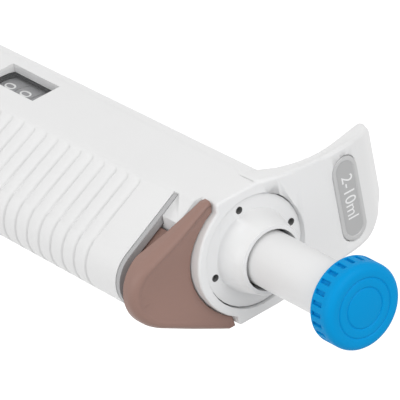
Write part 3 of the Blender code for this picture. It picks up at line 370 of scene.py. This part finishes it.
pick(knob, "FACE", upper_end)
reach = knob_r - KNOB_CROWN
for ring_r in FACE_RINGS:
    for inner in (ring_r + RING_HALF, ring_r, ring_r - RING_HALF):
        bpy.ops.mesh.inset(thickness=reach - inner)
        reach = inner
for ring_r in FACE_RINGS:
    count = pick(knob, "VERT", lambda v: on_ring(v, ring_r))
    bpy.ops.transform.translate(value=(0, 0, -RING_DEPTH))
    print("ring of radius", ring_r, "has", count, "corners")

# %% Grip notches
NOTCH_LENGTH = 0.0030
NOTCH_DEPTH = 0.0007
NOTCH_START = 0.0004
SUNK_SIDES = 2
UPRIGHT = 0.01
notch_low = knob_low.z + NOTCH_START
notch_high = notch_low + NOTCH_LENGTH


def everything(piece, kind="FACE"):
    only(piece, "EDIT", kind)
    bpy.ops.mesh.select_all(action="SELECT")


for height in (notch_low, notch_high):
    everything(knob)
    bpy.ops.mesh.bisect(plane_co=(axis_x, 0, height), plane_no=(0, 0, 1))


def in_notch(face):
    middle = face.calc_center_median()
    side = math.atan2(middle.y, middle.x - axis_x) / math.tau * KNOB_SIDES
    return (
        abs(face.normal.z) < UPRIGHT
        and notch_low < middle.z < notch_high
        and math.floor(side) % SIDES_PER_NOTCH < SUNK_SIDES
    )


sunk = pick(knob, "FACE", in_notch)
bpy.ops.mesh.extrude_region_shrink_fatten(
    TRANSFORM_OT_shrink_fatten={"value": -NOTCH_DEPTH, "use_even_offset": True}
)
print("sunk sides", sunk)

# %% Socket for the tube
PLAY = 0.0003
ROD_HOLE_R = 0.0023
KNOB_SOFT_EDGE = 0.00012
tube_low, tube_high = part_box("plunger_tube")
tube_r = (tube_high.x - tube_low.x) / 2
rod_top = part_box("plunger_rod")[1].z
pick(knob, "FACE", lambda f: f.normal.z < -LEVEL and len(f.verts) > 4)
bpy.ops.mesh.inset(thickness=knob_r - tube_r - PLAY)
socket_depth = tube_high.z + PLAY - knob_low.z
bpy.ops.mesh.extrude_region_move(TRANSFORM_OT_translate={"value": (0, 0, socket_depth)})
bpy.ops.mesh.inset(thickness=tube_r + PLAY - ROD_HOLE_R)
hole_depth = rod_top - tube_high.z
bpy.ops.mesh.extrude_region_move(TRANSFORM_OT_translate={"value": (0, 0, hole_depth)})
close_up(knob, "knob", blue, angle=40, bevel=KNOB_SOFT_EDGE, weighted=False)
stand_in(knob, "push_button")

# %% [markdown]
# ## Welded copies of the other pieces
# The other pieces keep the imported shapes, which carry the ribs, the hook and the window. A packed
# mesh is loose triangles and is left alone, so each piece is copied, welded into one skin and
# shaded by the angle between its faces. Weighting the shading by area keeps the flats flat beside
# their rounded corners.

# %% Weld a copy
WELD_DISTANCE = 0.000002
FLAT_ANGLE = math.radians(0.3)
SMOOTH_DEGREES = 32


def welded_copy(node):
    only(nodes[node])
    bpy.ops.object.duplicate()
    piece = bpy.context.object
    for key in [k for k in piece.keys() if k.startswith("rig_")]:
        del piece[key]
    everything(piece, "VERT")
    bpy.ops.mesh.remove_doubles(threshold=WELD_DISTANCE)
    bpy.ops.mesh.select_all(action="SELECT")
    bpy.ops.mesh.dissolve_limited(angle_limit=FLAT_ANGLE)
    close_up(piece, f"{node}_skin", finish_of[slot_of[node]], SMOOTH_DEGREES)
    stand_in(piece, node)
    return piece


MADE_ANEW = ("push_button", "range_label")
skins = {node: welded_copy(node) for node in sorted(nodes) if node not in MADE_ANEW}
print("welded", len(skins), "pieces")

# %% [markdown]
# ## The springs
# The three springs are wound from steel wire and shorten as their slides are pressed. A rigid copy
# would stick out through the part that presses it. Here each spring's welded copy is only given
# a mesh of its own.

# %% Springs with meshes of their own
SPRING_JOINTS = ("blowout_press", "plunger_press", "ejector_press")
for joint in frame["joints"]:
    if joint["name"] not in SPRING_JOINTS:
        continue
    wound = joint["deforming_nodes"][0]
    spring = skins[wound["node"]]
    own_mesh(spring)

# %% [markdown]
# ## The thumb lobe's edge
# The thumb lobe has a soft raised bead along its edge, with a fine step down to the dished thumb
# surface. It could be modelled anew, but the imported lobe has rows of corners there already, so the
# row 1.6 mm in from the edge is lifted a little and the row 2 mm in is sunk. Both rows follow the
# lobe's outline, which is an arc, a straight run that meets it, and a short front, and they draw
# closer to the edge towards the lobe's two tips.

# %% Bead on the thumb lobe
LOBE_CENTRE_X = 0.0210
LOBE_R = 0.0097
LOBE_FRONT_Y = 0.0162
LOBE_BEND_X = 0.0093
LOBE_TIP_X = 0.00795
LOBE_FULL_X = 0.0175
TIP_SHARE = 0.45
BEAD_IN = 0.0016
STEP_IN = 0.0020
BEAD_LIFT = 0.00012
ROW_WIDTH = 0.0001
UPPER_SIDE = 0.3
lobe = skins["ejector_button"]


def lobe_half_width(x):
    """Half the lobe's width at x, up to its centre: the front, then the run that meets the arc."""
    bend = Vector((LOBE_BEND_X - LOBE_CENTRE_X, LOBE_FRONT_Y))
    angle = math.atan2(bend.y, bend.x) - math.acos(LOBE_R / bend.length)
    run = (LOBE_R - (x - LOBE_CENTRE_X) * math.cos(angle)) / math.sin(angle)
    return min(LOBE_FRONT_Y, run)


def in_from_edge(corner):
    """How far in from the lobe's edge a corner lies, counted as on the widest stretch."""
    x = corner.co.x - axis_x
    y = abs(corner.co.y)
    if x > LOBE_CENTRE_X:
        return LOBE_R - math.hypot(x - LOBE_CENTRE_X, y)
    along = min(max((x - LOBE_TIP_X) / (LOBE_FULL_X - LOBE_TIP_X), 0), 1)
    return (lobe_half_width(x) - y) / (TIP_SHARE + (1 - TIP_SHARE) * along)


def in_row(corner, row_in):
    return corner.normal.z > UPPER_SIDE and abs(in_from_edge(corner) - row_in) < ROW_WIDTH


for row_in, lift in ((BEAD_IN, BEAD_LIFT), (STEP_IN, -BEAD_LIFT)):
    count = pick(lobe, "VERT", lambda v: in_row(v, row_in))
    bpy.ops.transform.translate(value=(0, 0, lift))
    print("corners in this row:", count)
only(lobe)
bpy.ops.object.shade_smooth_by_angle(angle=math.radians(SMOOTH_DEGREES))

# %% [markdown]
# ## The pin holes
# Four small holes in the round plate take a key with two pins. They look darker than the plate,
# because little light finds its way in. The imported nut has the holes themselves, and painted
# shade, a dark grey on the faces inside them, keeps them dark under this scene's soft light.

# %% Dark pin holes
PIN_HOLE_R = 0.0009
PIN_HOLE_DEPTH = 0.0015
PIN_CIRCLE_R = 0.0111
SMALL_FACE = 1.3 * PIN_HOLE_R


def in_pin_hole(face):
    middle = face.calc_center_median()
    spans = [math.hypot(v.co.x - middle.x, v.co.y - middle.y) for v in face.verts]
    return (
        abs(from_axis(middle) - PIN_CIRCLE_R) < PIN_HOLE_R
        and 0 < plate_z - middle.z < PIN_HOLE_DEPTH + NEAR
        and max(spans) < SMALL_FACE
    )


def second_finish(piece, material, test):
    """The faces that pass the test get a finish of their own."""
    piece.data.materials.append(material)
    count = pick(piece, "FACE", test)
    piece.active_material_index = len(piece.data.materials) - 1
    bpy.ops.object.material_slot_assign()
    only(piece)
    return count


# The faces inside the pin holes get the painted shade.
holes = second_finish(skins["calibration_nut"], hole_painted_shade, in_pin_hole)
print("faces inside the pin holes:", holes)

# %% [markdown]
# ## The range label
# The label is a separate plate in the hook's top: a stadium with a low dome of an edge, a fine
# line round it, and the volume range printed in white. A stadium could be drawn as a curve, but a
# cylinder whose halves are pulled apart keeps the ends round and the sides straight.

# %% Label plate
LABEL_SIDES = 64
LABEL_EDGE = 0.0003
LABEL_EDGE_STEPS = 4
LABEL_RIM = 0.0009
LABEL_LINE = 0.00022
LABEL_SINK = 0.0002
label_low, label_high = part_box("range_label")
label_mid = (label_low + label_high) / 2
label_half_width = (label_high.x - label_low.x) / 2
label_pull = (label_high.y - label_low.y) / 2 - label_half_width
label_thick = label_high.z - label_low.z
bpy.ops.mesh.primitive_cylinder_add(
    vertices=LABEL_SIDES, radius=label_half_width, depth=label_thick, location=label_mid
)
label = bpy.context.object
settle(label)
for side in (1, -1):
    pick(label, "VERT", lambda v: side * v.co.y > NEAR)
    bpy.ops.transform.translate(value=(0, side * label_pull, 0))
pick_rim(label, label_high.z)
bpy.ops.mesh.bevel(offset=LABEL_EDGE, segments=LABEL_EDGE_STEPS, profile=0.5, affect="EDGES")
pick(label, "FACE", upper_end)
bpy.ops.mesh.inset(thickness=LABEL_RIM - LABEL_EDGE)
bpy.ops.mesh.inset(thickness=LABEL_LINE)
bpy.ops.transform.translate(value=(0, 0, -LABEL_SINK))
# The rim gets the painted light of its domed edge, and the face keeps the label's own grey.
close_up(label, "label_plate", label_rim_painted_light, angle=30)
second_finish(label, label_grey, upper_end)
stand_in(label, "range_label")

# %% [markdown]
# ## Printing
# Real print is a film of ink a few hundredths of a millimetre thick. It could be a picture on the
# surface, but letters made as text and then turned into a mesh stay sharp at any size, and they
# are meshes like the rest of the shape.


# %% Printing helper
def printed(text, name, size, depth):
    """Flat letters with a hair of thickness, as a mesh that lies at the origin, facing +Z."""
    bpy.ops.object.text_add(location=(0, 0, 0))
    letters = bpy.context.object
    letters.data.body = text
    letters.data.size = size
    letters.data.align_x = "CENTER"
    letters.data.align_y = "CENTER"
    letters.data.extrude = depth / 2
    only(letters)
    bpy.ops.object.convert(target="MESH")
    letters = bpy.context.object
    letters.name = name
    letters.data.name = name
    return letters


# %% Print the range on the label
PRINT_DEPTH = 0.00006
RANGE_SIZE = 0.0040
RANGE_STRETCH = 1.08
RANGE_SHIFT = Vector((-0.0001, -0.0003, -LABEL_SINK))
letters = printed("2-10ml", "label_print", RANGE_SIZE, PRINT_DEPTH)
letters.data.transform(Matrix.Diagonal((1.0, RANGE_STRETCH, 1.0, 1.0)))
letters.rotation_euler = (0, 0, math.radians(90))
letters.location = Vector((label_mid.x, label_mid.y, label_high.z)) + RANGE_SHIFT
close_up(letters, "label_print", print_white, weighted=False)
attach(letters, "handle")

# %% [markdown]
# ## Numbers on the counter wheels
# Each wheel carries the ten digits round its rim, read one under the other through the window:
# tens, units and tenths of a millilitre. At rest the counter reads 10.0. Turning the plunger
# clockwise, seen from above, lowers the volume, so going round the wheel the other way each digit
# is one lower than the last. The digits could be cut into the rim, but they are print on the real
# wheel. A digit is made flat, and its corners are then laid on the wheel, with a quarter of its
# thickness sunk in.

# %% Digits
WHEELS = (("digit_wheel_tens", 1), ("digit_wheel_units", 0), ("digit_wheel_tenths", 0))
DIGIT_SIZE = 0.0050
DIGITS = 10
READ_DEGREES = -90


def lay_on_wheel(digit, middle, rim_r, height):
    for corner in digit.data.vertices:
        angle = middle + corner.co.x / rim_r
        reach = rim_r + corner.co.z + PRINT_DEPTH / 4
        across = reach * math.cos(angle)
        corner.co = (axis_x + across, reach * math.sin(angle), height + corner.co.y)


for node, shown in WHEELS:
    low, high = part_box(node)
    rim_r = (high.x - low.x) / 2
    digits = []
    for step in range(DIGITS):
        shape = str((shown - step) % DIGITS)
        digit = printed(shape, f"{node}_digit_{step}", DIGIT_SIZE, PRINT_DEPTH)
        everything(digit)
        bpy.ops.mesh.subdivide(number_cuts=1)
        bpy.ops.object.mode_set(mode="OBJECT")
        middle = math.radians(READ_DEGREES + 360 / DIGITS * step)
        lay_on_wheel(digit, middle, rim_r, (low.z + high.z) / 2)
        digits.append(digit)
    only(digits[0])
    for digit in digits:
        digit.select_set(True)
    bpy.ops.object.join()
    close_up(digits[0], f"{node}_print", print_white, weighted=False)
    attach(digits[0], nodes[node]["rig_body"])

# %% [markdown]
# ## The floor
# The pipette hangs over a plain pale floor. The floor shows pure white to the camera, to gloss and
# through glass, by a light of its own that only those rays see, added to its paper so that the
# pipette's shadow stays on it.

# %% Floor
FLOOR_DROP = 0.02
FLOOR_SIZE = 6
FLOOR_GLOW = 0.5
bpy.ops.mesh.primitive_plane_add(size=FLOOR_SIZE, location=(0, 0, cad_box[0][2] - FLOOR_DROP))
floor = bpy.context.object
floor.name = "floor"
settle(floor)
paper = plastic("pale_paper", (0.8, 0.8, 0.8), 0.9)
tree = paper.node_tree


def calculate(tree, operation, first, second):
    """A Math node that works on one output and on another output or a number."""
    node = tree.nodes.new("ShaderNodeMath")
    node.operation = operation
    tree.links.new(first, node.inputs[0])
    if isinstance(second, float):
        node.inputs[1].default_value = second
    else:
        tree.links.new(second, node.inputs[1])
    return node.outputs["Value"]


path = tree.nodes.new("ShaderNodeLightPath")
seen = calculate(tree, "MAXIMUM", path.outputs["Is Camera Ray"], path.outputs["Is Glossy Ray"])
seen = calculate(tree, "MAXIMUM", seen, path.outputs["Is Transmission Ray"])
glow = tree.nodes.new("ShaderNodeEmission")
glow.inputs["Color"].default_value = (1, 1, 1, 1)
tree.links.new(calculate(tree, "MULTIPLY", seen, FLOOR_GLOW), glow.inputs["Strength"])
both = tree.nodes.new("ShaderNodeAddShader")
tree.links.new(shader_of(paper).outputs["BSDF"], both.inputs[0])
tree.links.new(glow.outputs["Emission"], both.inputs[1])
tree.links.new(both.outputs["Shader"], tree.nodes["Material Output"].inputs["Surface"])
floor.data.materials.append(paper)
print("floor lies", FLOOR_DROP, "m below the nozzle")

# %% [markdown]
# ## The light
# The photograph has the even light of a small studio. A large key lamp stands near the camera, a
# weaker fill on the left reaches the ribs, and a pale world lightens the shadows. Both lamps are
# placed from the camera's own directions, so they keep their side of the picture.


# %% Lamps
def soft_lamp(name, way, distance, size, watts):
    data = bpy.data.lights.new(name, "AREA")
    data.shape = "DISK"
    data.size = size
    data.energy = watts
    lamp = bpy.data.objects.new(name, data)
    bpy.context.scene.collection.objects.link(lamp)
    lamp.location = camera_target + way.normalized() * distance
    lamp.rotation_euler = way.to_track_quat("Z", "Y").to_euler()
    print(name, "lamp:", watts, "W from", distance, "m")


key_way = view_back + view_up * 0.35 + view_right * 0.55
fill_way = view_back * 0.6 - view_right * 0.8 - view_up * 0.1
soft_lamp("key", key_way, distance=1.2, size=1.0, watts=6.4)
soft_lamp("fill", fill_way, distance=1.4, size=1.2, watts=6.2)

# %% World
WORLD_LIGHT = 0.64
WORLD_SEEN = 1.0
world = bpy.data.worlds.new("studio")
world.use_nodes = True
tree = world.node_tree
sky = tree.nodes["Background"]
sky.inputs["Color"].default_value = (1, 1, 1, 1)
path = tree.nodes.new("ShaderNodeLightPath")
level = tree.nodes.new("ShaderNodeMapRange")
level.inputs["To Min"].default_value = WORLD_LIGHT
level.inputs["To Max"].default_value = WORLD_SEEN
tree.links.new(path.outputs["Is Camera Ray"], level.inputs["Value"])
tree.links.new(level.outputs["Result"], sky.inputs["Strength"])
bpy.context.scene.world = world
bpy.context.scene.view_settings.view_transform = "Standard"
print("world light", WORLD_LIGHT)
